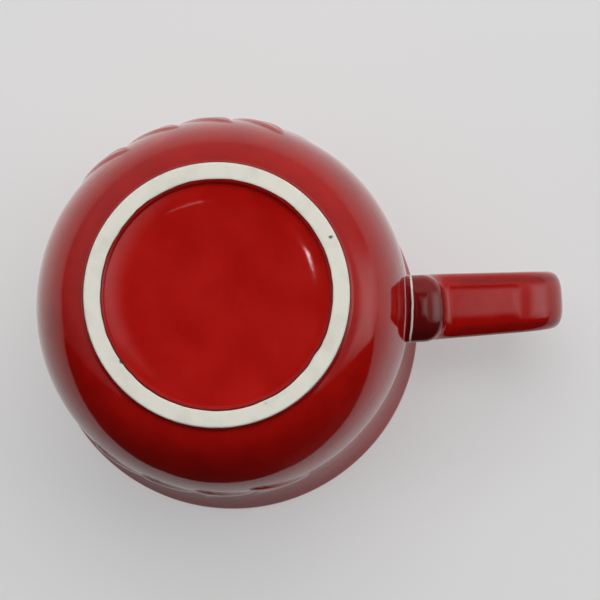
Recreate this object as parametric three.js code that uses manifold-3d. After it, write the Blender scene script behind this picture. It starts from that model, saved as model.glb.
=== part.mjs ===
// A red-glazed ceramic mug with a strap handle. The clay pot stands on a bare foot ring. The handle
// is luted to the pot with slip, leaf sprigs stand out on two faces, and glaze covers the rest.
// Millimetres and degrees, +Z up. The pot turns about Z and the handle points along +X.
import * as THREE from "three";
import { mergeVertices } from "three/addons/utils/BufferGeometryUtils.js";
import Module from "manifold-3d";

const wasm = await Module();
wasm.setup();

// Pot, sizes of the clay
const potHeight = 89.5;
const rimRadius = 48.5;
const lipThickness = 3.4;
const neckRadius = 43.6;
const neckHeight = 63;
const bellyRadius = 45.1;
const bellyHeight = 35.5;
const bellySide = 20;
const undersideSlope = 14;
const undersideReach = 7;
const wallThickness = 4;
const floorThickness = 5.6;
const insideFloorRadius = 20;
const insideFloorReach = 15;
const insideSide = 18;

// Foot
const footRadius = 31;
const footRingWidth = 4.2;
const footEdge = 0.4;
const footHeight = 2.6;
const footFillet = 1.6;
const recessDepth = 2.8;
const recessFillet = 8;

// Glaze coats, and the clearance that every coat, joint and sprig keeps
const glazeThickness = 0.45;
const coatGap = 0.05;
const glazeLine = 0.9;

// Handle, sizes of the clay strap; the bow and the tail stand proud of the belly
const bowProud = 38.7;
const tailProud = 7.7;
const strapThickness = 8.6;
const upperWidth = 14.2;
const bowWidth = 13.4;
const tailWidth = 15.4;
const upperRunDrop = 14.5;
const lowerRunRise = 5.5;
const bowStraight = 8.5;
const lowerCorner = 8.5;
const tailCorner = 7.6;
const tailDrop = 8.5;
const strapRoot = 6;
const strapSquareness = 3.2;
const tipTurn = 86;
const handleLean = 6;
const handleYaw = -3;
const slipThickness = 0.4;

// Leaf sprigs on the front and the back
const frontFacing = -112;
const frontHeight = 36;
const backFacing = 90;
const backHeight = 50;
const sprigGap = 0.1;
const sprigRelief = 0.75;
const stemLength = 58;
const stemWidth = 2.6;
const stemBow = 5;
const leafLength = 30;
const leafWidth = 10;
const leafAngle = 58;
const leafPitch = 13.5;
const leafPairs = 4;
const leafSetback = 2.6;
const endLeafLift = 1.2;
const endLeafAngle = -14;

// How finely round shapes are cut
const roundSides = 36;
const filletSteps = 2;
const bellySteps = 6;
const curveSteps = 4;
const sectionSides = 12;
const lineSteps = 2;
const tipSteps = 3;
const leafSides = 6;
const leafStep = 4;
const samePoint = 0.001;

const coat = coatGap + glazeThickness;
const strapReach = bellyRadius + bowProud;
const tailReach = bellyRadius + tailProud;
const upperRunHeight = potHeight - upperRunDrop;
const lowerRunHeight = bellyHeight + lowerRunRise;
const upperCorner = upperRunHeight - lowerRunHeight - bowStraight - lowerCorner;
const tailTip = bellyHeight - tailDrop;
const floorHeight = recessDepth + floorThickness;
const ringInside = footRadius - footRingWidth;
const lipRadius = lipThickness / 2;
const lipCentre = new THREE.Vector2(rimRadius - lipRadius, potHeight - lipRadius);
const v2 = (r, z) => new THREE.Vector2(r, z);
const radians = THREE.MathUtils.degToRad;

// Materials
const redGlaze = new THREE.MeshStandardMaterial({ color: 0x9c0f0f, roughness: 0.12, metalness: 0 });
const bareClay = new THREE.MeshStandardMaterial({ color: 0xd9d6c8, roughness: 0.85, metalness: 0 });
const castSlip = new THREE.MeshStandardMaterial({ color: 0xcfc9b8, roughness: 0.9, metalness: 0 });

// Joins outline pieces end to end, leaving out the points they share.
function join(...pieces) {
  const points = [];
  for (const point of pieces.flat()) {
    if (points.length === 0 || points.at(-1).distanceTo(point) > samePoint) points.push(point);
  }
  return points;
}

// Outside of the clay, from the glaze line on the foot up to the crown of the lip.
function outsideOutline() {
  const slope = radians(undersideSlope);
  const filletCentre = v2(footRadius + footFillet, footHeight);
  const fillet = new THREE.EllipseCurve(
    filletCentre.x, filletCentre.y, footFillet, footFillet, Math.PI, Math.PI / 2 + slope, true,
  );
  const start = fillet.getPoint(1);
  const belly = new THREE.CubicBezierCurve(
    start,
    v2(start.x + undersideReach * Math.cos(slope), start.y + undersideReach * Math.sin(slope)),
    v2(bellyRadius, bellyHeight - bellySide),
    v2(bellyRadius, bellyHeight),
  );
  const lip = new THREE.EllipseCurve(lipCentre.x, lipCentre.y, lipRadius, lipRadius, 0, Math.PI / 2, false);
  return join(
    [v2(footRadius, glazeLine)],
    fillet.getPoints(filletSteps),
    belly.getPoints(bellySteps),
    ...upperWall(bellyRadius, neckRadius, rimRadius),
    lip.getPoints(filletSteps),
  );
}

// The waist above the belly and the flare to the lip, for one face of the wall.
function upperWall(bellyR, neckR, rimR) {
  const waistMiddle = (bellyHeight + neckHeight) / 2;
  const flareMiddle = (neckHeight + lipCentre.y) / 2;
  const waist = new THREE.CubicBezierCurve(
    v2(bellyR, bellyHeight), v2(bellyR, waistMiddle), v2(neckR, waistMiddle), v2(neckR, neckHeight),
  );
  const flare = new THREE.QuadraticBezierCurve(
    v2(neckR, neckHeight), v2(neckR, flareMiddle), v2(rimR, lipCentre.y),
  );
  return [waist.getPoints(curveSteps), flare.getPoints(curveSteps)];
}

// Inside of the clay, from the middle of the floor up to the crown of the lip.
function insideOutline() {
  const insideBelly = bellyRadius - wallThickness;
  const bowl = new THREE.CubicBezierCurve(
    v2(insideFloorRadius, floorHeight),
    v2(insideFloorRadius + insideFloorReach, floorHeight),
    v2(insideBelly, bellyHeight - insideSide),
    v2(insideBelly, bellyHeight),
  );
  const seam = coatGap / lipRadius;
  const lip = new THREE.EllipseCurve(
    lipCentre.x, lipCentre.y, lipRadius, lipRadius, Math.PI, Math.PI / 2 + seam, true,
  );
  return join(
    [v2(0, floorHeight)],
    bowl.getPoints(curveSteps),
    ...upperWall(insideBelly, neckRadius - wallThickness, rimRadius - lipThickness),
    lip.getPoints(filletSteps),
  );
}

// Recess under the floor, from the middle out to the glaze line inside the foot ring.
function recessOutline() {
  const fillet = new THREE.QuadraticBezierCurve(
    v2(ringInside - recessFillet, recessDepth), v2(ringInside, recessDepth), v2(ringInside, glazeLine),
  );
  return join([v2(0, recessDepth)], fillet.getPoints(curveSteps));
}

// Moves an outline sideways by a distance: right of its direction if positive, left if negative.
function offset(outline, distance) {
  const rightOf = (a, b) => v2(b.y - a.y, a.x - b.x).normalize();
  return outline.map((point, i) => {
    const before = i > 0 ? rightOf(outline[i - 1], point) : null;
    const after = i < outline.length - 1 ? rightOf(point, outline[i + 1]) : null;
    const normal = (before ?? after).clone().add(after ?? before).normalize();
    const miter = distance / normal.dot(before ?? after);
    return v2(point.x + normal.x * miter, point.y + normal.y * miter);
  });
}

// A body of revolution about Z from an outline that runs with the solid on its left.
function turned(outline) {
  const geometry = new THREE.LatheGeometry(outline, roundSides);
  return geometry.rotateX(Math.PI / 2);
}

// The solid that a closed geometry bounds.
function solid(geometry) {
  const bare = geometry.index ? geometry.toNonIndexed() : geometry.clone();
  for (const name of Object.keys(bare.attributes)) {
    if (name !== "position") bare.deleteAttribute(name);
  }
  const merged = mergeVertices(bare, samePoint);
  const corners = Array.from(merged.index.array);
  const triVerts = [];
  for (let i = 0; i < corners.length; i += 3) {
    const [a, b, c] = corners.slice(i, i + 3);
    if (a !== b && b !== c && c !== a) triVerts.push(a, b, c);
  }
  const mesh = new wasm.Mesh({
    numProp: 3,
    vertProperties: new Float32Array(merged.attributes.position.array),
    triVerts: new Uint32Array(triVerts),
  });
  mesh.merge();
  return new wasm.Manifold(mesh);
}

// A geometry of a solid's surface.
function surface(body) {
  const mesh = body.getMesh();
  const geometry = new THREE.BufferGeometry();
  geometry.setAttribute("position", new THREE.BufferAttribute(new Float32Array(mesh.vertProperties), 3));
  geometry.setIndex(Array.from(mesh.triVerts));
  return geometry;
}

// The pot without its hollow, grown by a distance, as the tool that trims what meets the wall.
function filledPot(growth) {
  const wall = offset(outside, growth);
  const top = v2(0, wall.at(-1).y);
  const bottom = v2(0, wall[0].y);
  return solid(turned([bottom, ...wall, top]));
}

// A coat of glaze beside an outline that starts on the axis, on the side that the sign says.
function cappedCoat(outline, side) {
  const inner = offset(outline, side * coatGap);
  const outer = offset(outline, side * coat);
  return side > 0 ? [...outer, ...inner.reverse()] : [...inner, ...outer.reverse()];
}

// Middle line of the strap in the X-Z plane, from inside the wall out, down, in and to the tail.
function strapLine() {
  const bowX = strapReach - strapThickness / 2;
  const tailX = tailReach - strapThickness / 2;
  const line = new THREE.Path();
  line.moveTo(neckRadius - strapRoot, upperRunHeight);
  line.lineTo(bowX - upperCorner, upperRunHeight);
  line.absarc(bowX - upperCorner, upperRunHeight - upperCorner, upperCorner, Math.PI / 2, 0, true);
  line.lineTo(bowX, lowerRunHeight + lowerCorner);
  line.absarc(bowX - lowerCorner, lowerRunHeight + lowerCorner, lowerCorner, 0, -Math.PI / 2, true);
  line.lineTo(tailX + tailCorner, lowerRunHeight);
  line.absarc(tailX + tailCorner, lowerRunHeight - tailCorner, tailCorner, Math.PI / 2, Math.PI, false);
  line.lineTo(tailX, tailTip + strapThickness / 2);
  return line;
}

// Places along the strap: a point, its direction and how far along the whole line it is.
function strapStations() {
  const line = strapLine();
  const lengths = line.curves.map((curve) => curve.getLength());
  const whole = lengths.reduce((sum, length) => sum + length, 0);
  const stations = [];
  let passed = 0;
  line.curves.forEach((curve, i) => {
    const steps = curve.isLineCurve ? lineSteps : curveSteps;
    for (let k = i === 0 ? 0 : 1; k <= steps; k++) {
      const t = k / steps;
      stations.push({
        point: curve.getPointAt(t),
        direction: curve.getTangentAt(t),
        along: (passed + t * lengths[i]) / whole,
      });
    }
    passed += lengths[i];
  });
  return stations;
}

// Width of the strap, narrowest at the bow and widest at the tail.
function strapWidth(along) {
  const half = Math.abs(along - 0.5) * 2;
  const ease = (1 - Math.cos(Math.PI * half)) / 2;
  const end = along < 0.5 ? upperWidth : tailWidth;
  return bowWidth + (end - bowWidth) * ease;
}

// The strap as a solid, grown all round by a distance, leaned and turned as it was stuck on.
function strap(growth) {
  const rings = strapStations().map(({ point, direction, along }) => ({
    point,
    direction,
    halfWidth: strapWidth(along) / 2 + growth,
    halfThickness: strapThickness / 2 + growth,
  }));
  const last = rings.at(-1);
  for (let k = 1; k <= tipSteps; k++) {
    const turn = (k / tipSteps) * radians(tipTurn);
    const shrink = last.halfThickness * (1 - Math.cos(turn));
    rings.push({
      point: last.point.clone().addScaledVector(last.direction, last.halfThickness * Math.sin(turn)),
      direction: last.direction,
      halfWidth: last.halfWidth - shrink,
      halfThickness: last.halfThickness - shrink,
    });
  }
  const positions = [];
  const index = [];
  rings.forEach(({ point, direction, halfWidth, halfThickness }) => {
    for (let k = 0; k < sectionSides; k++) {
      const turn = ((k + 0.5) / sectionSides) * 2 * Math.PI;
      const round = (value) => Math.sign(value) * Math.abs(value) ** (2 / strapSquareness);
      const across = round(Math.cos(turn)) * halfThickness;
      const sideways = round(Math.sin(turn)) * halfWidth;
      positions.push(point.x - direction.y * across, sideways, point.y + direction.x * across);
    }
  });
  for (let ring = 0; ring < rings.length - 1; ring++) {
    for (let k = 0; k < sectionSides; k++) {
      const a = ring * sectionSides + k;
      const b = ring * sectionSides + ((k + 1) % sectionSides);
      index.push(a, a + sectionSides, b, b, a + sectionSides, b + sectionSides);
    }
  }
  const tip = (rings.length - 1) * sectionSides;
  for (let k = 1; k < sectionSides - 1; k++) {
    index.push(0, k, k + 1);
    index.push(tip, tip + k + 1, tip + k);
  }
  const geometry = new THREE.BufferGeometry();
  geometry.setAttribute("position", new THREE.Float32BufferAttribute(positions, 3));
  geometry.setIndex(index);
  geometry.translate(-tailReach, 0, -bellyHeight);
  geometry.rotateX(radians(handleLean));
  geometry.rotateZ(radians(handleYaw));
  geometry.translate(tailReach, 0, bellyHeight);
  return solid(geometry);
}

// Half of space above or below the middle of the handle.
function halfSpace(above) {
  const size = 4 * strapReach;
  const middle = (upperRunHeight + lowerRunHeight) / 2;
  const box = new THREE.BoxGeometry(size, size, size);
  return solid(box.translate(0, 0, middle + (above ? size : -size) / 2));
}

// Radius of the glazed wall at a height above the foot.
function wallRadius(z) {
  const glazed = offset(outside, coat);
  const i = glazed.findIndex((point, k) => k > 0 && glazed[k - 1].y <= z && point.y > z);
  const [low, high] = [glazed[i - 1], glazed[i]];
  return THREE.MathUtils.mapLinear(z, low.y, high.y, low.x, high.x);
}

// One raised leaf or stem: a pointed lens wrapped round the pot, half of it inside the wall.
function raisedLens(facing, length, width, angle, around, up, bow) {
  const lens = new THREE.SphereGeometry(1, leafSides, Math.ceil(length / leafStep));
  const place = lens.attributes.position;
  const turn = radians(angle);
  for (let i = 0; i < place.count; i++) {
    const along = place.getY(i);
    const point = Math.sqrt(Math.max(0, 1 - along * along));
    const u = (along * length) / 2;
    const v = (-place.getX(i) * point * width) / 2 + bow * (1 - along * along);
    const s = around + u * Math.cos(turn) - v * Math.sin(turn);
    const z = up + u * Math.sin(turn) + v * Math.cos(turn);
    const r = wallRadius(z) + sprigGap + place.getZ(i) * sprigRelief;
    const azimuth = radians(facing) + s / bellyRadius;
    place.setXYZ(i, r * Math.cos(azimuth), r * Math.sin(azimuth), z);
  }
  return solid(lens);
}

// A leaf sprig: a bowed stem with pairs of leaves and one leaf at its end.
function sprig(facing, height) {
  let body = raisedLens(facing, stemLength, stemWidth, 0, 0, height, stemBow);
  const turn = radians(leafAngle);
  for (let pair = 0; pair < leafPairs; pair++) {
    const foot = (pair - (leafPairs - 1) / 2) * leafPitch - leafSetback;
    const rise = stemBow * (1 - (2 * foot / stemLength) ** 2);
    for (const side of [1, -1]) {
      const around = foot + (leafLength / 2) * Math.cos(turn);
      const up = height + rise + side * (leafLength / 2) * Math.sin(turn);
      body = body.add(raisedLens(facing, leafLength, leafWidth, side * leafAngle, around, up, 0));
    }
  }
  const end = (leafPairs / 2) * leafPitch;
  const endUp = height + endLeafLift;
  body = body.add(raisedLens(facing, leafLength, leafWidth, endLeafAngle, end, endUp, 0));
  return body.subtract(filledPot(coat + sprigGap));
}

const outside = outsideOutline();
const inside = insideOutline();
const recess = recessOutline();

const footRing = [v2(ringInside, footEdge), v2(ringInside + footEdge, 0), v2(footRadius - footEdge, 0),
  v2(footRadius, footEdge)];
const potOutline = [...recess, ...footRing, ...outside, ...inside.slice().reverse()];
const outsideCoat = [...offset(outside, coat), ...offset(outside, coatGap).reverse()];
outsideCoat.push(outsideCoat[0]);

const bareStrap = strap(0);
const strapSeat = filledPot(slipThickness + 2 * coatGap);
const slipLayer = bareStrap.intersect(filledPot(coatGap + slipThickness).subtract(filledPot(coatGap)));
const strapCoat = strap(coat).subtract(strap(coatGap)).subtract(filledPot(coat + coatGap));
const cutCoat = solid(turned(outsideCoat)).subtract(strap(coatGap));

const mug = new THREE.Group();
function add(name, geometry, material) {
  const mesh = new THREE.Mesh(geometry, material);
  mesh.name = name;
  mug.add(mesh);
}

add("clay_body", turned(potOutline), bareClay);
add("clay_handle", surface(bareStrap.subtract(strapSeat)), bareClay);
add("upper_slip_joint", surface(slipLayer.intersect(halfSpace(true))), castSlip);
add("lower_slip_joint", surface(slipLayer.intersect(halfSpace(false))), castSlip);
add("outside_glaze", surface(cutCoat), redGlaze);
add("inside_glaze", turned(cappedCoat(inside, -1)), redGlaze);
add("base_glaze", turned(cappedCoat(recess, 1)), redGlaze);
add("handle_glaze", surface(strapCoat), redGlaze);
add("front_sprig", surface(sprig(frontFacing, frontHeight)), redGlaze);
add("back_sprig", surface(sprig(backFacing, backHeight)), redGlaze);

// The middle of the footprint, handle included, stands at the origin.
const box = new THREE.Box3().setFromObject(mug);
mug.position.x = -(box.min.x + box.max.x) / 2;

export default mug;
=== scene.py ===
# %% [markdown]
# # A red glazed mug, seen from under its foot
# This lesson dresses a mug for its picture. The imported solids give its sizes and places. Here the bare clay,
# the coats of glaze and the handle get smooth meshes and finishes with the detail of the real ones.
# The mug stands upright on its foot, and the camera looks up at it from below, the way a mug is turned over
# to look at its base.

# %% Load the frame
import math
import bmesh
import bpy
from mathutils import Matrix, Vector, noise


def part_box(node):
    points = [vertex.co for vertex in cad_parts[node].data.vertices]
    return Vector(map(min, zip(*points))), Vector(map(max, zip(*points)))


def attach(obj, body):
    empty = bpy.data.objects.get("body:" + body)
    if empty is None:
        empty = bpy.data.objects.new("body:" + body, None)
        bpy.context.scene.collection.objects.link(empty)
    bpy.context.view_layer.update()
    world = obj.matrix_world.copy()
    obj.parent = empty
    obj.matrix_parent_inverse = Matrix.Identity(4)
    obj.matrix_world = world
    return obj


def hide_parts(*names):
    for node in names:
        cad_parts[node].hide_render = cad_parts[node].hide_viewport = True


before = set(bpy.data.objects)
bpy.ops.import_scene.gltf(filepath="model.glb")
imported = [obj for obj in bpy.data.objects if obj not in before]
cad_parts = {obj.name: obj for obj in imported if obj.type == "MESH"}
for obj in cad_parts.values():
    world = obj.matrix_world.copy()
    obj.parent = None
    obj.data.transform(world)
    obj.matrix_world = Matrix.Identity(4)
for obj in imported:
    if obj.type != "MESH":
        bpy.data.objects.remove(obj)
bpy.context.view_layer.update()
print("solids:", ", ".join(sorted(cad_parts)))

# %% [markdown]
# ## Sizes of the pot
# A pot is a turned form, so a few radii and heights describe it. They could be typed in again, but then a
# change to the solids would leave the picture behind. So they are read off the solids, on the side away from
# the handle, where nothing cuts the wall. Sizes are in millimetres until a mesh is made.

# %% Measure the pot
MM = 0.001


def far_side(node):
    """Radius and height of a solid's corners on the side away from the handle."""
    corners = [vertex.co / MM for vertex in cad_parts[node].data.vertices]
    return [(axis_x - c.x, c.z) for c in corners if abs(c.y) < 0.01 and c.x < axis_x + 0.01]


clay_low, clay_high = (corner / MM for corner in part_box("clay_body"))
axis_x = (clay_low.x + clay_high.x) / 2
rim_radius = (clay_high.x - clay_low.x) / 2
pot_height = clay_high.z
clay_side = far_side("clay_body")
glaze_side = far_side("outside_glaze")
belly_radius, belly_height = max(p for p in clay_side if p[1] < pot_height / 2)
coat = max(p for p in glaze_side if p[1] < pot_height / 2)[0] - belly_radius
coat_gap = 0.05
neck_radius, neck_height = min(p for p in glaze_side if p[1] > belly_height)
neck_radius -= coat_gap
foot_radius = max(r for r, z in clay_side if z < 1)
ring_inside = min(r for r, z in clay_side if z < 1)
on_axis = [z for r, z in clay_side if r < 0.01]
recess_depth = min(on_axis)
floor_height = max(on_axis)
print(f"pot {pot_height:.1f} high, rim {rim_radius:.1f}, neck {neck_radius:.1f}, belly {belly_radius:.1f}")
print(f"foot ring {ring_inside:.1f} to {foot_radius:.1f}, recess {recess_depth:.1f}, coat {coat:.2f}")

# %% [markdown]
# ## The outline of the pot
# On the wheel or in a mould, the wall is one flowing line: the foot, a small hollow above it, the round
# belly, the waist and the flare up to the lip. Straight steps would break every reflection, so the line is
# made of Bezier curves and arcs and then cut into even, short pieces. Glaze gathered in the corner above the
# foot, so there the line leaves the ring lower and in a tighter round than the solid does.

# %% Curve helpers
def at(radius, height):
    """A point of an outline."""
    return Vector((radius, height))


def bezier(controls, steps):
    """Points along a Bezier curve of any degree."""
    line = []
    for i in range(steps + 1):
        level = list(controls)
        while len(level) > 1:
            level = [a.lerp(b, i / steps) for a, b in zip(level, level[1:])]
        line.append(level[0])
    return line


def arc(centre, radius, start, end, steps):
    """Points along a circle's arc, from one angle to another in degrees."""
    angles = [math.radians(start + (end - start) * i / steps) for i in range(steps + 1)]
    return [centre + radius * at(math.cos(a), math.sin(a)) for a in angles]


def even(line, spacing):
    """The same line cut into equal pieces of about the given length."""
    lengths = [0.0]
    for a, b in zip(line, line[1:]):
        lengths.append(lengths[-1] + (b - a).length)
    count = max(1, round(lengths[-1] / spacing))
    points, k = [], 0
    for i in range(count + 1):
        goal = lengths[-1] * i / count
        while k < len(line) - 2 and lengths[k + 1] < goal:
            k += 1
        span = lengths[k + 1] - lengths[k]
        points.append(line[k].lerp(line[k + 1], (goal - lengths[k]) / span if span else 0.0))
    return points


def right_of(line):
    """Unit directions to the right of a line at each of its points."""
    sides = []
    for i in range(len(line)):
        step = line[min(i + 1, len(line) - 1)] - line[max(i - 1, 0)]
        sides.append(at(step.y, -step.x).normalized())
    return sides


print("quarter of a circle in even pieces:", len(even(arc(at(0, 0), 10, 0, 90, 40), 1)) - 1)

# %% The wall's outside and inside lines
FINE = 60
underside_slope = 14
underside_reach = 7
belly_side = 20
foot_height = 1.5
foot_fillet = 0.8
glaze_line = 0.9
lip_thickness = 3.4
wall_thickness = 4
inside_floor_radius = 20
inside_floor_reach = 15
inside_side = 18
lip_centre = at(rim_radius - lip_thickness / 2, pot_height - lip_thickness / 2)


def upper_wall(belly, neck, rim):
    """The waist and the flare for one face of the wall."""
    waist = (belly_height + neck_height) / 2
    flare = (neck_height + lip_centre.y) / 2
    lower = [at(belly, belly_height), at(belly, waist), at(neck, waist), at(neck, neck_height)]
    upper = [at(neck, neck_height), at(neck, flare), at(rim, lip_centre.y)]
    return bezier(lower, FINE)[1:] + bezier(upper, FINE)[1:]


hollow = arc(at(foot_radius + foot_fillet, foot_height), foot_fillet, 180, 90 + underside_slope, 20)
run_out = at(math.cos(math.radians(underside_slope)), math.sin(math.radians(underside_slope)))
belly_curve = [hollow[-1], hollow[-1] + run_out * underside_reach,
               at(belly_radius, belly_height - belly_side),
               at(belly_radius, belly_height)]
outside = [at(foot_radius, glaze_line)] + hollow + bezier(belly_curve, 2 * FINE)[1:]
outside += upper_wall(belly_radius, neck_radius, rim_radius)
outside += arc(lip_centre, lip_thickness / 2, 0, 90, 20)[1:]

inside_belly = belly_radius - wall_thickness
bowl = [at(inside_floor_radius, floor_height), at(inside_floor_radius + inside_floor_reach, floor_height),
        at(inside_belly, belly_height - inside_side), at(inside_belly, belly_height)]
inside = [at(0, floor_height)] + bezier(bowl, FINE)
inside += upper_wall(inside_belly, neck_radius - wall_thickness, rim_radius - lip_thickness)
inside += arc(lip_centre, lip_thickness / 2, 180, 90, 20)[1:]
print("outside line:", len(outside), "points; inside line:", len(inside), "points")

# %% [markdown]
# ## Turning a line into a skin
# A potter's wheel turns a line into a form. Blender's Screw modifier does that too, but here every ring of
# points needs its own small wobble, its relief and its marks for the finish. So the rings are made one by
# one and bridged with faces in bmesh. The marks "pool" and "thin" tell the glaze where it runs thick or
# thin.

# %% Skin helper
WELD = 1e-7
pot_axis = Vector((axis_x, 0, 0))


def skin(name, rings, marks=None, wrap=False):
    """A smooth mesh through rings of points in millimetres from the pot's axis, closed by wrap or poles."""
    body = bmesh.new()
    layers = {key: body.verts.layers.float.new(key) for key in (marks or {})}
    rows = []
    for i, ring in enumerate(rings):
        row = [body.verts.new((p + pot_axis) * MM) for p in ring]
        for key, layer in layers.items():
            for vertex, value in zip(row, marks[key][i]):
                vertex[layer] = value
        rows.append(row)
    for low, high in zip(rows, rows[1:] + rows[:1] if wrap else rows[1:]):
        for k in range(len(low)):
            n = (k + 1) % len(low)
            body.faces.new((low[k], low[n], high[n], high[k]))
    bmesh.ops.remove_doubles(body, verts=body.verts, dist=WELD)
    bmesh.ops.recalc_face_normals(body, faces=body.faces)
    mesh = bpy.data.meshes.new(name)
    body.to_mesh(mesh)
    body.free()
    mesh.polygons.foreach_set("use_smooth", [True] * len(mesh.polygons))
    piece = bpy.data.objects.new(name, mesh)
    bpy.context.scene.collection.objects.link(piece)
    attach(piece, "root")
    print(name, "faces:", len(mesh.polygons))
    return piece


def outward(turn):
    """Level unit direction out from the axis at a turn in degrees."""
    return Vector((math.cos(math.radians(turn)), math.sin(math.radians(turn)), 0))


def ring_of(radius, height, sides):
    """A level ring of points round the axis."""
    return [radius * outward(360 * k / sides) + Vector((0, 0, height)) for k in range(sides)]


def wobble(point, size, depth):
    """A soft unevenness of the given size and depth, the same on every run."""
    return depth * noise.noise(point / size)


print(f"points within {WELD / MM:.4f} mm of each other are welded")

# %% [markdown]
# ## The bare clay pot
# Only the foot ring of the clay shows: it is wiped clean of glaze so that the mug doesn't stick to the kiln
# shelf. A Boolean of cylinders would leave hard edges. The ring was sponged, so its line is turned with
# rounded edges, the inner one wider, and its face has shallow low spots. Inside it the recess is a shallow
# dish that ends in a tight corner.

# %% Turn the clay pot
inner_round = 0.8
outer_round = 0.45
recess_fillet = 8
clay_sides = 240
clay_skip = 3
face_step = 0.35
face_dip = (6, 0.06)
recess_corner = 0.6
dish_slope = math.tan(math.radians(10.5))
dish_start = at(ring_inside - recess_fillet, recess_depth)
dish_end = at(ring_inside - recess_corner, recess_depth - dish_slope * (recess_fillet - recess_corner) / 2)
dish_middle = at((dish_start.x + dish_end.x) / 2, recess_depth)
corner_tip = at(ring_inside, dish_end.y - dish_slope * recess_corner)
recess = bezier([dish_start, dish_middle, dish_end], 24)
recess += bezier([dish_end, corner_tip, at(ring_inside, inner_round)], 16)[1:]
inner_edge = arc(at(ring_inside + inner_round, inner_round), inner_round, 180, 270, 10)
outer_edge = arc(at(foot_radius - outer_round, outer_round), outer_round, 270, 360, 8)
ring_face = even([inner_edge[-1], outer_edge[0]], face_step)
clay_line = [at(0, recess_depth)] + recess + inner_edge[1:] + ring_face[1:-1] + outer_edge
clay_line += outside[:-1:clay_skip] + inside[::-clay_skip] + [inside[0]]
clay_rings = []
for point in clay_line:
    ring = ring_of(point.x, point.y, clay_sides)
    if point.y < inner_round and ring_inside < point.x < foot_radius:
        for corner in ring:
            corner.z += abs(wobble(corner, *face_dip))
    clay_rings.append(ring)
clay_pot = skin("bare_clay_pot", clay_rings)
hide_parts("clay_body")

# %% [markdown]
# ## The bare clay's finish
# Fired clay is pale, matt and a little gritty. It could be one cream colour, but the real ring shows faint
# grey smudges, a few dark specks and pin holes. Noise makes the smudges and the grain, and a Voronoi pattern
# makes small dots, of which only a few cells are dark.

# %% Node helpers
def add_node(tree, kind, values=None, **settings):
    """A shader node with its settings, and its sockets set to values or linked to other sockets."""
    new = tree.nodes.new(kind)
    for key, value in settings.items():
        setattr(new, key, value)
    for key, value in (values or {}).items():
        if isinstance(value, bpy.types.NodeSocket):
            tree.links.new(value, new.inputs[key])
        else:
            new.inputs[key].default_value = value
    return new


def maths(tree, operation, *values, **settings):
    """The result of one of Blender's Math operations on numbers or sockets."""
    new = add_node(tree, "ShaderNodeMath", dict(enumerate(values)), operation=operation, **settings)
    return new.outputs[0]


def ramp(tree, factor, stops):
    """A colour ramp on a factor, with stops given as place and colour."""
    new = add_node(tree, "ShaderNodeValToRGB", {"Fac": factor})
    while len(new.color_ramp.elements) < len(stops):
        new.color_ramp.elements.new(1.0)
    for element, (place, colour) in zip(new.color_ramp.elements, stops):
        element.position = place
        element.color = (*colour, 1.0)
    return new.outputs["Color"]


def grey(level):
    """A grey colour."""
    return (level, level, level)


def new_finish(name):
    """A new material, its node tree, its Principled shader and the object's own coordinates."""
    finish = bpy.data.materials.new(name)
    finish.use_nodes = True
    tree = finish.node_tree
    place = add_node(tree, "ShaderNodeTexCoord").outputs["Object"]
    return finish, tree, tree.nodes["Principled BSDF"], place


def mixed(tree, factor, base, over):
    """Colour over laid on colour base by a factor. A Mix node takes its colours at inputs 6 and 7."""
    new = add_node(tree, "ShaderNodeMix", data_type="RGBA")
    for socket, value in zip((new.inputs[0], new.inputs[6], new.inputs[7]), (factor, base, over)):
        if isinstance(value, bpy.types.NodeSocket):
            tree.links.new(value, socket)
        else:
            socket.default_value = value
    return new.outputs[2]


print("grey at half level:", grey(0.5))

# %% Clay finish
def rare_dots(tree, place, scale, channel, rarity, sizes):
    """Small dots in a few cells of a Voronoi pattern, picked by one channel of the cells' colours."""
    dots = add_node(tree, "ShaderNodeTexVoronoi", {"Vector": place, "Scale": scale})
    cells = add_node(tree, "ShaderNodeSeparateColor", {"Color": dots.outputs["Color"]})
    rare = ramp(tree, cells.outputs[channel], [(rarity, grey(0.0)), (rarity + 0.01, grey(1.0))])
    small = ramp(tree, dots.outputs["Distance"], [(sizes[0], grey(1.0)), (sizes[1], grey(0.0))])
    return maths(tree, "MULTIPLY", rare, small)


def pitted(tree, shader, grain, holes, strength, depth):
    """Gives a shader a fine bump from a grain, with holes sunk into it."""
    height = maths(tree, "SUBTRACT", grain.outputs["Fac"], holes)
    bump = add_node(tree, "ShaderNodeBump", {"Height": height, "Strength": strength, "Distance": depth})
    tree.links.new(bump.outputs["Normal"], shader.inputs["Normal"])


def clay_finish(name, pale, dull):
    """Matt fired clay between two colours, with grain, specks and pin holes."""
    finish, tree, shader, place = new_finish(name)
    cloud = add_node(tree, "ShaderNodeTexNoise", {"Vector": place, "Scale": 140.0, "Detail": 5.0})
    colour = ramp(tree, cloud.outputs["Fac"], [(0.34, dull), (0.52, pale)])
    specks = rare_dots(tree, place, 330.0, "Red", 0.93, (0.14, 0.26))
    colour = mixed(tree, specks, colour, (0.09, 0.07, 0.055, 1.0))
    tree.links.new(colour, shader.inputs["Base Color"])
    rough = ramp(tree, cloud.outputs["Fac"], [(0.3, grey(0.72)), (0.7, grey(0.9))])
    tree.links.new(rough, shader.inputs["Roughness"])
    grain = add_node(tree, "ShaderNodeTexNoise", {"Vector": place, "Scale": 1900.0, "Detail": 4.0})
    pitted(tree, shader, grain, specks, 0.35, 0.15 * MM)
    return finish


bare_clay = clay_finish("bare_clay_finish", (0.715, 0.695, 0.62), (0.64, 0.62, 0.55))
clay_pot.data.materials.append(bare_clay)
print("finish:", bare_clay.name, len(bare_clay.node_tree.nodes), "nodes")

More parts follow.
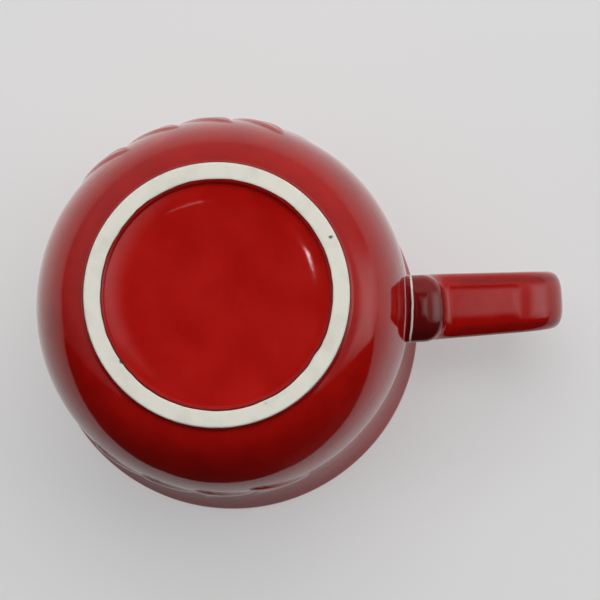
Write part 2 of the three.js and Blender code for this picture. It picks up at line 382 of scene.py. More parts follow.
# %% [markdown]
# ## The red glaze's finish
# Red glaze is a layer of coloured glass on the clay. One flat red with gloss would look like plastic. On the
# real mug the red is cloudy, darker where the glaze pools in hollows and along its edges, thinner and more
# orange on crests, and there is a pale pin hole here and there. On the handle the same dark mark also
# carries painted shade, and a pale line along the crease under its tail is a painted highlight. The marks on
# the meshes drive all this, a fine bump gives the skin of fired glaze, and the thinner coat under the base is
# a little lighter than the wall's.

# %% Glaze finish
def glaze_finish(name, tone):
    """Glossy red glaze of a tone, with clouds, pooled glaze and painted shade, thin crests, a painted crease
    highlight and pin holes.
    """
    finish, tree, shader, place = new_finish(name)
    cloud = add_node(tree, "ShaderNodeTexNoise", {"Vector": place, "Scale": 110.0, "Detail": 6.0,
                                                  "Roughness": 0.6})
    reds = [(0.3, (0.335, 0.0040, 0.0026)), (0.5, (0.385, 0.0048, 0.0030)), (0.72, (0.430, 0.0066, 0.0040))]
    colour = ramp(tree, cloud.outputs["Fac"], [(stop, [tone * c for c in red]) for stop, red in reds])
    thin = add_node(tree, "ShaderNodeAttribute", attribute_name="thin")
    colour = mixed(tree, thin.outputs["Fac"], colour, (0.43, 0.045, 0.022, 1.0))
    # Darker red where the glaze pooled. On the handle this mark also carries painted shade.
    pool_and_shade = add_node(tree, "ShaderNodeAttribute", attribute_name="pool_and_shade")
    colour = mixed(tree, pool_and_shade.outputs["Fac"], colour, (0.055, 0.004, 0.004, 1.0))
    # A painted highlight: a pale line along the crease under the handle's tail, where the dark mark is high.
    crease_highlight = add_node(tree, "ShaderNodeAttribute", attribute_name="crease_highlight")
    line = ramp(tree, crease_highlight.outputs["Fac"], [(0.34, grey(0.0)), (0.40, grey(1.0)), (0.58, grey(1.0)),
                                            (0.64, grey(0.0))])
    in_pool = maths(tree, "MULTIPLY", pool_and_shade.outputs["Fac"], 1.5)
    highlight_share = maths(tree, "MULTIPLY", line, in_pool, use_clamp=True)
    colour = mixed(tree, highlight_share, colour, (0.86, 0.80, 0.76, 1.0))
    holes = rare_dots(tree, place, 85.0, "Green", 0.82, (0.016, 0.03))
    colour = mixed(tree, holes, colour, (0.62, 0.42, 0.36, 1.0))
    tree.links.new(colour, shader.inputs["Base Color"])
    rough = ramp(tree, cloud.outputs["Fac"], [(0.3, grey(0.045)), (0.75, grey(0.085))])
    tree.links.new(rough, shader.inputs["Roughness"])
    shader.inputs["IOR"].default_value = 1.5
    peel = add_node(tree, "ShaderNodeTexNoise", {"Vector": place, "Scale": 420.0, "Detail": 2.0})
    pitted(tree, shader, peel, holes, 0.06, 0.2 * MM)
    return finish


red_glaze = glaze_finish("red_glaze_finish", 0.87)
thin_glaze = glaze_finish("thin_glaze_finish", 0.94)
print("finishes:", red_glaze.name, thin_glaze.name, len(red_glaze.node_tree.nodes), "nodes each")

# %% [markdown]
# ## Leaves in relief
# The wall carries low relief on two faces. A sprig could be a stuck-on mesh, but on the real mug the glaze
# runs over it without a seam. So the sprig is a height field: each leaf is a pointed lens with a groove for
# its vein, and the wall's points rise by the height of the leaf that covers them.

# %% Lay out the leaves
front_facing, front_height = -112, 36
back_facing, back_height = 90, 50
leaf_relief = 0.75
stem_length = 58
stem_width = 2.6
stem_bow = 5
leaf_length = 30
leaf_width = 10
leaf_angle = 58
leaf_pitch = 13.5
leaf_pairs = 4
leaf_setback = 2.6
end_leaf_lift = 1.2
end_leaf_angle = math.radians(-14)
vein_width = 0.55
vein_depth = 0.35
leaves = [(0, 0, 0, stem_length, stem_width, stem_bow, 0)]
lean = math.radians(leaf_angle)
for pair in range(leaf_pairs):
    foot = (pair - (leaf_pairs - 1) / 2) * leaf_pitch - leaf_setback
    rise = stem_bow * (1 - (2 * foot / stem_length) ** 2)
    for side in (1, -1):
        middle = (foot + leaf_length / 2 * math.cos(lean), rise + side * leaf_length / 2 * math.sin(lean))
        leaves.append((*middle, side * lean, leaf_length, leaf_width, 0, vein_depth))
leaves.append((leaf_pairs / 2 * leaf_pitch, end_leaf_lift, end_leaf_angle, leaf_length, leaf_width, 0,
               vein_depth))
print("leaves on each sprig:", len(leaves) - 1)

# %% Height of the leaves
pool_reach = 0.4
pool_fade = 0.2
tip_bluntness = 0.35
edge_roundness = 4
sprig_reach = 0.75 * stem_length
sprig_half_height = 1.3 * leaf_length


def bump_at(distance, reach):
    """A soft bump of height one that fades over a reach."""
    return math.exp(-(distance / reach) ** 2)


def leaf_at(leaf, around, up):
    """Height of one leaf at a place, and how deep the glaze pools against its edge there."""
    middle, lift, angle, length, width, bow, vein = leaf
    u = math.cos(angle) * (around - middle) + math.sin(angle) * (up - lift)
    v = math.cos(angle) * (up - lift) - math.sin(angle) * (around - middle)
    along = 2 * u / length
    if abs(along) >= 1:
        return 0.0, 0.0
    taper = 1 - along * along
    v -= bow * taper
    across = abs(v) / (width / 2 * taper)
    if across >= 1:
        return 0.0, max(0.0, 1 - (across - 1) / pool_reach) * taper
    crease = vein * bump_at(v, vein_width)
    dome = 1 - across ** edge_roundness - crease * (1 - across)
    return leaf_relief * taper ** tip_bluntness * dome, 0.0


def relief(turn, height):
    """Relief and pooling on the wall at a turn in degrees and a height."""
    best, pooled = 0.0, 0.0
    for facing, middle in ((front_facing, front_height), (back_facing, back_height)):
        away = (turn - facing + 180) % 360 - 180
        around = math.radians(away) * belly_radius
        if abs(around) < sprig_reach and abs(height - middle) < sprig_half_height:
            for leaf in leaves:
                rise, dark = leaf_at(leaf, around, height - middle)
                best = max(best, rise)
                pooled = max(pooled, dark)
    return best, pooled * max(0.0, 1 - best / pool_fade)


print("relief in mm on the front stem:", round(relief(front_facing, front_height + stem_bow)[0], 2))

# %% [markdown]
# ## The outside coat
# The mug was dipped, so the coat starts in a soft bead near the foot, fills the hollow above it and thins at
# the lip. A Solidify modifier gives an even thickness with a square edge. Here the thickness grows in a
# round from the edge, the wall wobbles a little so that reflections aren't ruled lines, and the relief
# rises. The hidden back of the coat needs few rows, except in the tight corner at the foot, where it would
# come through the front.

# %% Line and edge of the outside coat
coat_sides = 432
coat_step = 0.6
bead = 0.7
wall_line = even(outside, coat_step)
wall_side = right_of(wall_line)


def bead_share(distance):
    """Share of the full thickness at a distance from the coat's edge."""
    return math.sqrt(max(0.0, 1 - (1 - min(distance, bead) / bead) ** 2))


print("rows up the wall:", len(wall_line))

# %% Make the outside coat
corner_place, corner_reach, corner_dark = 2.2, 1.1, 0.12
edge_reach, edge_dark = 0.5, 0.5
leaf_edge_dark = 0.45
crest_thin = 0.3
lip_reach, lip_thin = 1.2, 0.35
calm_reach = 4
wide_wave, fine_wave = (17, 0.09), (6, 0.025)
edge_wave, edge_wave_turn, edge_wave_reach = (2.2, 0.3), 9, 2
back_spacing = 8
foot_rows = 14
rings, pool_and_shade_rows, thins = [], [], []
for i, (point, side) in enumerate(zip(wall_line, wall_side)):
    from_edge = i * coat_step
    to_lip = (len(wall_line) - 1 - i) * coat_step
    steady = min(1.0, from_edge / calm_reach, to_lip / calm_reach)
    near_edge = max(0.0, 1 - from_edge / edge_wave_reach)
    foot_pool = corner_dark * bump_at(from_edge - corner_place, corner_reach)
    foot_pool += edge_dark * bump_at(from_edge, edge_reach)
    ring, pool_and_shade, thin = [], [], []
    for k in range(coat_sides):
        turn = 360 * k / coat_sides
        out = outward(turn)
        rise, dark = relief(turn, point.y)
        here = out * point.x + Vector((0, 0, point.y))
        thick = coat * bead_share(from_edge) + rise
        thick += steady * (wobble(here, *wide_wave) + wobble(here, *fine_wave))
        here += out * side.x * thick
        here.z += side.y * thick + near_edge * wobble(out * edge_wave_turn, *edge_wave)
        ring.append(here)
        pool_and_shade.append(min(1.0, leaf_edge_dark * dark + foot_pool))
        thin.append(min(1.0, crest_thin * rise / leaf_relief + lip_thin * bump_at(to_lip, lip_reach)))
    rings.append(ring)
    pool_and_shade_rows.append(pool_and_shade)
    thins.append(thin)
for i in (*range(len(wall_line) - 1, foot_rows, -back_spacing), *range(foot_rows, 0, -1)):
    inner = wall_line[i] + wall_side[i] * coat_gap
    rings.append(ring_of(inner.x, inner.y, coat_sides))
    pool_and_shade_rows.append([0.0] * coat_sides)
    thins.append([0.0] * coat_sides)
outside_coat = skin("red_outside_coat", rings, {"pool_and_shade": pool_and_shade_rows, "thin": thins}, wrap=True)
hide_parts("outside_glaze", "front_sprig", "back_sprig")
outside_coat.data.materials.append(red_glaze)

# %% [markdown]
# ## The inside coat
# The liner was poured in and out again, so it lies thicker in the bowl's corner and thin at the lip. It
# could share one mesh with the outside, but the two coats are separate pieces, so it is its own thin shell
# that meets the outside coat on the crown of the lip.

# %% Make the inside coat
liner_sides = 240
liner_step = 0.9
liner_wave = (15, 0.08)
bowl_corner_height, bowl_corner_reach, bowl_corner_dark = 3, 5, 0.25
bowl_calm = 10
liner_line = even(inside, liner_step)
liner_side = right_of(liner_line)
rings, pool_and_shade_rows, thins = [], [], []
for i, (point, side) in enumerate(zip(liner_line, liner_side)):
    to_lip = (len(liner_line) - 1 - i) * liner_step
    corner = bump_at(point.y - floor_height - bowl_corner_height, bowl_corner_reach)
    corner *= min(1.0, point.x / inside_floor_radius)
    ring = ring_of(point.x, point.y, liner_sides)
    steady = min(1.0, to_lip / calm_reach, point.x / bowl_calm)
    for here in ring:
        out = Vector((here.x, here.y, 0)).normalized()
        thick = coat + steady * wobble(here, *liner_wave)
        here -= out * side.x * thick + Vector((0, 0, side.y * thick))
    rings.append(ring)
    pool_and_shade_rows.append([bowl_corner_dark * corner] * liner_sides)
    thins.append([lip_thin * bump_at(to_lip, lip_reach)] * liner_sides)
for i in range(len(liner_line) - 1, -1, -back_spacing):
    inner = liner_line[i] - liner_side[i] * coat_gap
    rings.append(ring_of(max(0.0, inner.x), inner.y, liner_sides))
    pool_and_shade_rows.append([0.0] * liner_sides)
    thins.append([0.0] * liner_sides)
inside_coat = skin("red_inside_coat", rings, {"pool_and_shade": pool_and_shade_rows, "thin": thins})
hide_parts("inside_glaze")
inside_coat.data.materials.append(red_glaze)

# %% [markdown]
# ## The coat under the base
# The recess inside the foot ring is glazed too, and a wet sponge wiped the ring clean. That leaves a
# wavering edge on the ring's inner round, darker where the glaze gathered. A material could paint that line,
# but its small step catches the light, so the edge of this shell wanders in and out as geometry. The rows of
# its hidden back lie close together in the recess's corner, so that the back stays behind the front.

# %% Edge of the base coat
base_sides = 300
base_step = 0.25
edge_setback = 0.6
edge_sway = 0.22
wide_sway, fine_sway, sway_radius = (9, 0.8 * edge_sway), (2.6, 0.6 * edge_sway), 27
notch_turn, notch_width, notch_depth = 32, 3, 0.45
ring_clearance = 0.05
base_clay = even([at(0, recess_depth)] + recess + inner_edge[1:], base_step)
base_side = right_of(base_clay)
last_place = len(base_clay) - 1.001
edge_place = (len(base_clay) - 1 - round(edge_setback / base_step)) * base_step
base_turns = [360 * k / base_sides for k in range(base_sides)]


def edge_at(turn):
    """Distance of the base coat's wavering edge from the middle, along the clay, at a turn in degrees."""
    out = outward(turn) * sway_radius
    notch = notch_depth * bump_at(turn - notch_turn, notch_width)
    return edge_place + wobble(out, *wide_sway) + wobble(out, *fine_sway) - notch


def base_point(distance, turn, depth):
    """A point of the base coat at a distance along the clay from the middle, and a depth off the clay."""
    place = min(max(distance / base_step, 0.0), last_place)
    k = int(place)
    point = base_clay[k].lerp(base_clay[k + 1], place - k)
    side = base_side[k].lerp(base_side[k + 1], place - k)
    height = max(ring_clearance, point.y + side.y * depth)
    return outward(turn) * (point.x + side.x * depth) + Vector((0, 0, height))


base_edges = [edge_at(turn) for turn in base_turns]
print(f"base coat's edge, mm from the middle: {min(base_edges):.2f} to {max(base_edges):.2f}")

# %% Make the base coat
base_rows = 90
edge_crowding = 1.6
edge_thickness = 0.12
edge_line_reach, edge_line_dark = 0.22, 0.9
base_wave = (13, 0.05)
middle_calm, edge_calm = 5, 3
corner_rows, corner_row_share = 21, 0.006
corner_shares = [1 - corner_row_share * step for step in range(corner_rows)]
middle_shares = [0.8, 0.7, 0.6, 0.3, 0.0]
rings, pool_and_shade_rows = [], []
for i in range(base_rows + 1):
    share = 1 - (1 - i / base_rows) ** edge_crowding
    ring, pool_and_shade = [], []
    for turn, edge in zip(base_turns, base_edges):
        distance = share * edge
        to_edge = edge - distance
        steady = min(1.0, distance / middle_calm) * min(1.0, to_edge / edge_calm)
        thick = edge_thickness + (coat - edge_thickness) * bead_share(to_edge)
        here = base_point(distance, turn, thick)
        here.z -= steady * wobble(here, *base_wave)
        ring.append(here)
        pool_and_shade.append(edge_line_dark * bump_at(to_edge, edge_line_reach))
    rings.append(ring)
    pool_and_shade_rows.append(pool_and_shade)
for share in corner_shares + middle_shares:
    rings.append([base_point(share * edge, turn, coat_gap) for turn, edge in zip(base_turns, base_edges)])
    pool_and_shade_rows.append([0.0] * base_sides)
base_coat = skin("red_base_coat", rings, {"pool_and_shade": pool_and_shade_rows})
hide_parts("base_glaze")
base_coat.data.materials.append(thin_glaze)

# %% [markdown]
# ## The handle's line
# The handle is a pulled or cast strap. It leaves the wall level under the rim, turns down in a bow, comes
# back and ends in a short tail pressed onto the belly. A curve object with a bevel could sweep it, but its
# width changes along the way and its tail is flat on the wall side, so the strap is lofted through sections.

# %% Lay out the strap's line
strap_thickness = 8.6
bow_reach = belly_radius + 38.7
tail_reach = belly_radius + 7.7
upper_run = pot_height - 14.5
lower_run = belly_height + 5.5
lower_corner = 8.5
bow_straight = 8.5
upper_corner = upper_run - lower_run - bow_straight - lower_corner
tail_corner = 7.6
tail_tip = belly_height - 8.5
root_depth = 1.6
strap_step = 0.4
bow_x = bow_reach - strap_thickness / 2
tail_x = tail_reach - strap_thickness / 2


def wall_at(height):
    """Radius of the glazed wall at a height, and its slope there as radius per height."""
    k = next(i for i in range(len(wall_line) - 1) if wall_line[i + 1].y >= height)
    low, high = wall_line[k], wall_line[k + 1]
    slope = (high.x - low.x) / (high.y - low.y)
    return low.x + slope * (height - low.y) + coat, slope


strap_line = [at(wall_at(upper_run)[0] - root_depth, upper_run)]
strap_line += arc(at(bow_x - upper_corner, upper_run - upper_corner), upper_corner, 90, 0, 40)
strap_line += arc(at(bow_x - lower_corner, lower_run + lower_corner), lower_corner, 0, -90, 30)
strap_line += arc(at(tail_x + tail_corner, lower_run - tail_corner), tail_corner, 90, 180, 30)
strap_line += [at(tail_x, tail_tip + strap_thickness / 2)]
strap_line = even(strap_line, strap_step)
print("strap length in mm:", round(strap_step * (len(strap_line) - 1), 1))

# %% [markdown]
# ## The strap's sections
# Across, the strap is a flat oval with soft corners. On the tail its back is pressed flat against the pot,
# so there the section gets square corners on the wall side and rounder ones outside. One formula, the
# superellipse, gives all of these when its power changes. Glaze gathered on the tail, so it swells outwards
# a little, and it ends in a dome.

# %% Section of the strap
upper_width = 14.2
bow_width = 13.4
tail_width = 15.4
section_points = 96
dense_points = 720
strap_power = 3.2
tail_power = 2.3
seat_power = 14
tail_swell = 0.9
tail_from, tail_blend = 0.86, 0.09
tip_steps = 24
tip_fullness = 0.8


def section(half_thick, half_wide, tail, swell):
    """Points across the strap: thickness first, then width. The tail share squares the wall side."""
    dense = []
    for k in range(dense_points + 1):
        turn = 2 * math.pi * k / dense_points
        c, s = math.cos(turn), math.sin(turn)
        power = strap_power + tail * ((seat_power if c < 0 else tail_power) - strap_power)
        scale = (abs(c) ** power + abs(s) ** power) ** (-1 / power)
        thick = half_thick + (swell * tail if c > 0 else 0)
        dense.append(at(c * scale * thick, s * scale * half_wide))
    length = sum((b - a).length for a, b in zip(dense, dense[1:]))
    return even(dense, length / section_points)[:section_points]


def strap_width(along):
    """Width of the strap at a share of its length."""
    end = upper_width if along < 0.5 else tail_width
    return bow_width + (end - bow_width) * (1 - math.cos(2 * math.pi * abs(along - 0.5))) / 2


def strap_rings(growth, swell):
    """Rings of points of the strap, grown all round and more on the tail, before it is leaned and turned."""
    sides = right_of(strap_line)
    found = []
    for i, (point, side) in enumerate(zip(strap_line, sides)):
        along = i / (len(strap_line) - 1)
        tail = min(1.0, max(0.0, (along - tail_from) / tail_blend))
        ring = section(strap_thickness / 2 + growth, strap_width(along) / 2 + growth, tail, swell)
        found.append([Vector((point.x - side.x * p.x, p.y, point.y - side.y * p.x)) for p in ring])
    tip_radius = strap_thickness / 2 + growth
    for step in range(1, tip_steps):
        turn = math.pi / 2 * step / tip_steps
        half_wide = (strap_width(1.0) / 2 + growth) * math.cos(turn) ** tip_fullness
        ring = section(tip_radius * math.cos(turn), half_wide, math.cos(turn), swell)
        low = strap_line[-1].y - tip_radius * math.sin(turn)
        found.append([Vector((tail_x + p.x, p.y, low)) for p in ring])
    return found


coat_rings = strap_rings(coat, tail_swell)
print("rings along the strap:", len(coat_rings))

# %% [markdown]
# ## Setting the handle on the pot
# The handle was stuck on by hand: it leans a few degrees and is turned a little. Where it meets the wall
# there is a small hollow round. A Boolean and a bevel could make it, but bevels fail on such a curved seam.
# Instead the strap's points near the wall spread outwards along it by the shape of a quarter round. The same
# pass marks where the glaze is dark at the tail's tip, paints shade on the tip's back half and in bands
# along the strap's edges, and paints a pale highlight along a wavering line under the tail.

# %% Where the handle's glaze is dark, and where shade and a highlight are painted
handle_lean = math.radians(6)
handle_yaw = math.radians(-3)
tip_pool_reach, tip_pool_fade = 5.5, 3.5
# tip_dark is glaze pooled at the tail's tip. Its tilt along y, darker on the back half, and the edge bands
# below are painted shade.
tip_dark, tip_shade_tilt, tip_dark_least, tip_dark_most = 0.72, 0.03, 0.5, 0.95
band_shade, band_place, band_width, band_start = 0.4, 0.74, 0.11, 3
crease_highlight_reach, crease_highlight_wave = 2, (2.5, 0.05)
pivot = Vector((tail_reach, 0, belly_height))
setting = Matrix.Rotation(handle_yaw, 3, "Z") @ Matrix.Rotation(handle_lean, 3, "X")
width_axis = setting @ Vector((0, 1, 0))


def set_on(point):
    """A point of the strap after it is leaned and turned about the tail."""
    return setting @ (point - pivot) + pivot


def tip_pool_and_shade(point):
    """How much darker the glaze is that ran down to the tail's tip, with painted shade darkening its back half
    more.
    """
    share = min(1.0, max(0.0, (tail_tip + tip_pool_reach - point.z) / tip_pool_fade))
    # The tilt along y is painted shade: the tip's back half is darker where less light falls.
    return share * min(tip_dark_most, max(tip_dark_least, tip_dark + tip_shade_tilt * point.y))


def edge_shade_band(point, middle, half_wide):
    """Painted shade in bands along both edges of the strap, where its faces turn away from the light."""
    share = abs((point - middle).dot(width_axis)) / half_wide
    past_tail = math.hypot(point.x, point.y) - tail_reach
    on_strap = min(1.0, max(0.0, (past_tail - band_start) / band_start))
    # Painted shade: the strap's edge bands are darker because they turn away from the light.
    return band_shade * on_strap * bump_at(share - band_place, band_width)


def crease_highlight_place(point, gap):
    """Nearness to the wall on the tail's lower end, which places a painted highlight along a wavering line
    there.
    """
    if point.z > tail_tip + tip_pool_reach:
        return 0.0
    return min(1.0, max(0.0, 1 - gap / crease_highlight_reach + wobble(point, *crease_highlight_wave)))


print("the strap's width runs along", [round(way, 3) for way in width_axis])

# %% Hollow round along the wall
tail_hollow = 0.35
root_hollow = 2.6
hollow_dark = 0.55
strap_wave = (9, 0.05)


def spread(rings):
    """Spreads points near the wall into a hollow round, and marks the pooled glaze, the painted shade and the
    painted crease highlight.
    """
    moved, pool_and_shade_rows, crease_highlight_rows = [], [], []
    for i, ring in enumerate(rings):
        row, marks, corner = [], [], []
        middle = sum(ring, Vector()) / len(ring)
        half_wide = max((point - middle).dot(width_axis) for point in ring)
        for k, point in enumerate(ring):
            along = rings[min(i + 1, len(rings) - 1)][k] - rings[max(i - 1, 0)][k]
            across = ring[(k + 1) % len(ring)] - ring[k - 1]
            normal = along.cross(across).normalized()
            if normal.dot(point - middle) < 0:
                normal.negate()
            reach, slope = wall_at(point.z)
            out = Vector((point.x, point.y, 0)).normalized()
            wall_normal = (out - Vector((0, 0, slope))).normalized()
            gap = (math.hypot(point.x, point.y) - reach) / math.sqrt(1 + slope * slope)
            hollow_radius = tail_hollow if point.z < (upper_run + lower_run) / 2 else root_hollow
            tangent = normal - wall_normal * normal.dot(wall_normal)
            near = min(1.0, max(0.0, 1 - gap / hollow_radius))
            push = hollow_radius * (1 - math.sqrt(1 - near * near))
            row.append(point + tangent * push + normal * wobble(point, *strap_wave))
            # The mark joins pooled glaze in the hollow round and at the tip with painted shade on the tip's
            # back half and along the edges.
            marks.append(max(hollow_dark * near ** 2, tip_pool_and_shade(point), edge_shade_band(point, middle, half_wide)))
            # A painted highlight: a pale line along the crease under the tail.
            corner.append(crease_highlight_place(point, gap))
        moved.append(row)
        pool_and_shade_rows.append(marks)
        crease_highlight_rows.append(corner)
    return moved, pool_and_shade_rows, crease_highlight_rows


outer, pool_and_shade_rows, crease_highlight_rows = spread([[set_on(p) for p in ring] for ring in coat_rings])
print("darkest mark on the handle:", round(max(map(max, pool_and_shade_rows)), 2))

# %% Make the handle's coat
inner = [[set_on(p) for p in ring] for ring in strap_rings(coat_gap, 0.0)]
outer_end = [sum(outer[-1], Vector()) / section_points] * section_points
inner_end = [sum(inner[-1], Vector()) / section_points] * section_points
rings = [outer_end] + outer[::-1] + inner + [inner_end]
blank = [[0.0] * section_points] * (len(inner) + 1)
pool_and_shade_rows = [pool_and_shade_rows[-1]] + pool_and_shade_rows[::-1] + blank
crease_highlight_rows = [crease_highlight_rows[-1]] + crease_highlight_rows[::-1] + blank
handle_coat = skin("red_handle_coat", rings, {"pool_and_shade": pool_and_shade_rows, "crease_highlight": crease_highlight_rows})
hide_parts("handle_glaze")
handle_coat.data.materials.append(red_glaze)

# %% [markdown]
# ## Clay and slip inside the handle
# Under the handle's coat are its clay core and the two layers of slip that glue it on. Nobody sees them on a
# whole mug, and their solids already have the right shape. So these solids stay, and only get a fired clay
# finish, a little duller for the slip.

# %% Finish the hidden solids
cast_slip = clay_finish("cast_slip_finish", (0.66, 0.63, 0.54), (0.58, 0.55, 0.47))
hidden_finishes = {"clay_handle": bare_clay, "upper_slip_joint": cast_slip, "lower_slip_joint": cast_slip}
for name, finish in hidden_finishes.items():
    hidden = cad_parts[name]
    hidden.data.materials.clear()
    hidden.data.materials.append(finish)
    print("kept solid:", name)

# %% [markdown]
# ## Camera
# The picture was taken from about 60 cm with a long lens, from a little beside the middle of the foot. A
# short lens close by would show the ring larger against the rim. The place and tilt below were found by
# fitting the circles of the ring, the belly and the rim.

# %% Set up the camera
camera_place = Vector((30.4, 53.9, -597.1))
camera_tilt, camera_roll = 185.03, -1.054
camera_data = bpy.data.cameras.new("camera")
camera_data.sensor_width = 36
camera_data.lens = 155.1
camera_data.clip_start = 0.05
camera_data.clip_end = 20
camera = bpy.data.objects.new("camera", camera_data)
camera.location = (camera_place + pot_axis) * MM
camera.rotation_euler = (math.radians(camera_tilt), math.radians(camera_roll), 0)
bpy.context.scene.collection.objects.link(camera)
bpy.context.scene.camera = camera
print("camera at", [round(c, 4) for c in camera.location], "lens", camera_data.lens)

# %% [markdown]
# ## Stage
# The mug stands on a pale floor. The picture's own background is the paper that the turned-over mug rests on
# with its rim, so a second pale sheet lies level with the rim and faces down. Each sheet shows only its
# front: the camera under the floor looks through the floor's back, and a camera above looks through the
# paper's back. Both glow a little for the camera and fade out further away, so no edge or horizon crosses a
# picture. The floor takes no part in reflections, so the foot can reflect the room. The paper glows in
# reflections as far as the glaze mirrors it, dimmer towards the back as painted shade.

# %% Finish of the sheets
grain_range = 0.01
mirror_middle, mirror_right, reflection_shade_back = 0.85, -0.1, -7.0


def sheet_finish(name, level, glow, fade):
    """Matt grey paper that glows for the camera and in reflections, and is clear behind and far off."""
    finish, tree, shader, place = new_finish(name)
    grain = add_node(tree, "ShaderNodeTexNoise", {"Vector": place, "Scale": 3.0, "Detail": 3.0})
    greys = [(0.3, grey(level - grain_range)), (0.7, grey(level + grain_range))]
    tree.links.new(ramp(tree, grain.outputs["Fac"], greys), shader.inputs["Base Color"])
    shader.inputs["Roughness"].default_value = 0.9
    shader.inputs["Specular IOR Level"].default_value = 0.1
    path = add_node(tree, "ShaderNodeLightPath").outputs
    ways = add_node(tree, "ShaderNodeSeparateXYZ", {"Vector": place}).outputs
    # Seen in reflections the paper glows, a little dimmer to the right and much dimmer towards the back:
    # painted shade in what the glaze mirrors.
    right = maths(tree, "MULTIPLY_ADD", ways["X"], mirror_right, mirror_middle)
    share = maths(tree, "MULTIPLY_ADD", ways["Y"], reflection_shade_back, right, use_clamp=True)
    seen = maths(tree, "MULTIPLY", path["Is Camera Ray"], glow[0])
    painted_reflection_glow = maths(tree, "MULTIPLY", share, glow[1])
    shine = maths(tree, "MULTIPLY_ADD", path["Is Glossy Ray"], painted_reflection_glow, seen)
    shader.inputs["Emission Color"].default_value = (1.0, 1.0, 1.0, 1.0)
    tree.links.new(shine, shader.inputs["Emission Strength"])
    level_way = add_node(tree, "ShaderNodeVectorMath", {0: place, 1: (1, 1, 0)}, operation="MULTIPLY")
    away = add_node(tree, "ShaderNodeVectorMath", {0: level_way.outputs["Vector"]}, operation="LENGTH")
    limits = {"Value": away.outputs["Value"], "From Min": fade[0] * MM, "From Max": fade[1] * MM}
    faded = add_node(tree, "ShaderNodeMapRange", limits, interpolation_type="SMOOTHSTEP")
    gone = maths(tree, "MULTIPLY", path["Is Camera Ray"], faded.outputs[0])
    behind = add_node(tree, "ShaderNodeNewGeometry").outputs["Backfacing"]
    unseen = maths(tree, "MAXIMUM", behind, gone)
    clear = add_node(tree, "ShaderNodeBsdfTransparent").outputs[0]
    pick = add_node(tree, "ShaderNodeMixShader", {0: unseen, 1: shader.outputs[0], 2: clear})
    tree.links.new(pick.outputs[0], tree.nodes["Material Output"].inputs["Surface"])
    return finish


floor_finish = sheet_finish("floor_finish", 0.45, (0.38, 0.0), (200, 900))
paper_finish = sheet_finish("paper_finish", 0.38, (0.35, 0.42), (135, 220))
print("finishes:", floor_finish.name, paper_finish.name)

# %% Floor and paper
sheet_sides = 96
floor_drop, floor_reach = 0.02, 4000
paper_gap, paper_reach = 0.3, 1500


def sheet(name, height, hole, reach, faces_up, finish):
    """A level sheet round the pot's axis, from a hole to its edge."""
    rings = [ring_of(radius, height, sheet_sides) for radius in (hole, reach)]
    points = [(p + pot_axis) * MM for ring in rings for p in ring]
    faces = []
    for k in range(sheet_sides):
        n = (k + 1) % sheet_sides
        loop = (k, sheet_sides + k, sheet_sides + n, n)
        faces.append(loop if faces_up else loop[::-1])
    mesh = bpy.data.meshes.new(name)
    mesh.from_pydata(points, [], faces)
    mesh.materials.append(finish)
    piece = bpy.data.objects.new(name, mesh)
    bpy.context.scene.collection.objects.link(piece)
    piece.visible_shadow = False
    return piece


floor = sheet("floor", -floor_drop, 0.0, floor_reach, True, floor_finish)
floor.visible_glossy = False
floor.visible_diffuse = False
floor.visible_transmission = False
mouth = rim_radius - lip_thickness
paper = sheet("paper", pot_height + coat + paper_gap, mouth, paper_reach, False, paper_finish)
paper.visible_diffuse = False
print("stage:", floor.name, paper.name)

# %% [markdown]
# ## Light
# Plain soft light comes from all round: a pale room that is darker at the back, a wide soft lamp below in
# front, weaker ones on the right and the left, and two above. The red glaze mirrors the room, so what it
# mirrors is set out with care: a dark shape at the back, another round the camera, two bright windows on the
# right, and two small lamps that leave short streaks in the recess.

# %% Room
side_level, back_dimming, steep_gain = 0.4, -0.55, 0.45
room_greys = [(0.1, 0.03), (0.4, 0.12), (0.625, 0.28), (0.85, 0.47), (1.0, 0.48)]
backdrop_grey = 0.70
room = bpy.data.worlds.new("room")
bpy.context.scene.world = room
room.use_nodes = True
tree = room.node_tree
direction = add_node(tree, "ShaderNodeTexCoord").outputs["Generated"]
parts = add_node(tree, "ShaderNodeSeparateXYZ", {"Vector": direction})
steep = maths(tree, "ABSOLUTE", parts.outputs["Z"])
level = maths(tree, "MULTIPLY_ADD", parts.outputs["Y"], back_dimming, side_level)
level = maths(tree, "MULTIPLY_ADD", steep, steep_gain, level)
room_light = ramp(tree, level, [(place, grey(shade)) for place, shade in room_greys])
seen = add_node(tree, "ShaderNodeLightPath").outputs["Is Camera Ray"]
sky = mixed(tree, seen, room_light, (*grey(backdrop_grey), 1.0))
tree.links.new(sky, tree.nodes["Background"].inputs["Color"])
print("room:", room.name, len(tree.nodes), "nodes")

# %% Lamps
def lamp(name, place, aim, size, power, glossy):
    """A soft rectangular lamp at a place in millimetres from the pot's axis, aimed at a point."""
    data = bpy.data.lights.new(name, "AREA")
    data.shape = "RECTANGLE"
    data.size = size[0] * MM
    data.size_y = size[1] * MM
    data.energy = power
    piece = bpy.data.objects.new(name, data)
    piece.location = (Vector(place) + pot_axis) * MM
    back = (Vector(place) - Vector(aim)).normalized()
    right = (Vector((1, 0, 0)) - back * back.x).normalized()
    piece.rotation_euler = Matrix((right, back.cross(right), back)).transposed().to_euler()
    piece.visible_camera = False
    piece.visible_glossy = glossy
    bpy.context.scene.collection.objects.link(piece)
    print("lamp:", name)


middle = (0, 0, pot_height / 2)
lamp("low_key", (60, -240, -540), middle, (500, 500), 2.35, False)
lamp("side_key", (700, -100, -350), middle, (500, 500), 1.1, False)
lamp("left_fill", (-600, 150, -300), middle, (400, 400), 0.5, False)
lamp("left_spark", (-118, -21, -600), middle, (10, 16), 0.014, True)
lamp("near_spark", (-7, 8, -600), middle, (7, 7), 0.0008, True)
lamp("high_key", (-500, -700, 900), middle, (700, 700), 9.0, True)
lamp("high_fill", (600, 500, 800), middle, (800, 800), 5.0, True)

# %% Cards that only reflections see
card_steps = 24


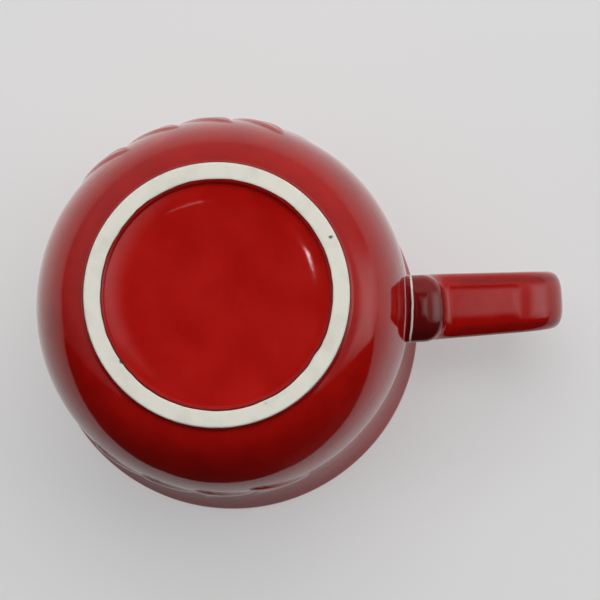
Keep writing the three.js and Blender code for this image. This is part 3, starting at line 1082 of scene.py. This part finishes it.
def card(name, corners, level, soft):
    """A card of one grey level between four corners, fading out over a share of its width at the edges."""
    points, cover = [], []
    low_left, low_right, high_right, high_left = (Vector(c) + pot_axis for c in corners)
    for i in range(card_steps + 1):
        for k in range(card_steps + 1):
            u, v = i / card_steps, k / card_steps
            points.append(low_left.lerp(low_right, u).lerp(high_left.lerp(high_right, u), v) * MM)
            inside_by = min(1.0, min(u, 1 - u, v, 1 - v) / soft)
            cover.append(inside_by * inside_by * (3 - 2 * inside_by))
    row = card_steps + 1
    faces = [(a, a + row, a + row + 1, a + 1) for a in range(row * card_steps) if (a + 1) % row]
    mesh = bpy.data.meshes.new(name)
    mesh.from_pydata(points, [], faces)
    mesh.attributes.new("cover", "FLOAT", "POINT").data.foreach_set("value", cover)
    finish, tree = new_finish(name + "_finish")[:2]
    shade = add_node(tree, "ShaderNodeEmission", {"Color": (*grey(level), 1.0)})
    clear = add_node(tree, "ShaderNodeBsdfTransparent")
    covered = add_node(tree, "ShaderNodeAttribute", attribute_name="cover").outputs["Fac"]
    pick = add_node(tree, "ShaderNodeMixShader", {0: covered, 1: clear.outputs[0], 2: shade.outputs[0]})
    tree.links.new(pick.outputs[0], tree.nodes["Material Output"].inputs["Surface"])
    mesh.materials.append(finish)
    piece = bpy.data.objects.new(name, mesh)
    bpy.context.scene.collection.objects.link(piece)
    piece.visible_camera = False
    piece.visible_shadow = False
    piece.visible_diffuse = False
    print("card:", name)


card("back_card", [(-180, 420, -900), (180, 420, -900), (650, 50, 210), (-650, 50, 210)], 0.01, 0.1)
card("camera_card", [(-350, -340, -640), (340, -340, -640), (340, 420, -640), (-350, 420, -640)], 0.01, 0.15)
card("near_window", [(-5, -170, -630), (420, -230, -630), (420, 360, -630), (-5, 190, -630)], 1.35, 0.45)
card("far_window", [(630, -400, -700), (790, -400, 260), (790, 360, 260), (630, 360, -700)], 1.7, 0.45)

# %% [markdown]
# ## View
# The picture uses the Standard view, so a colour renders as it is written.

# %% View transform
bpy.context.scene.view_settings.view_transform = "Standard"
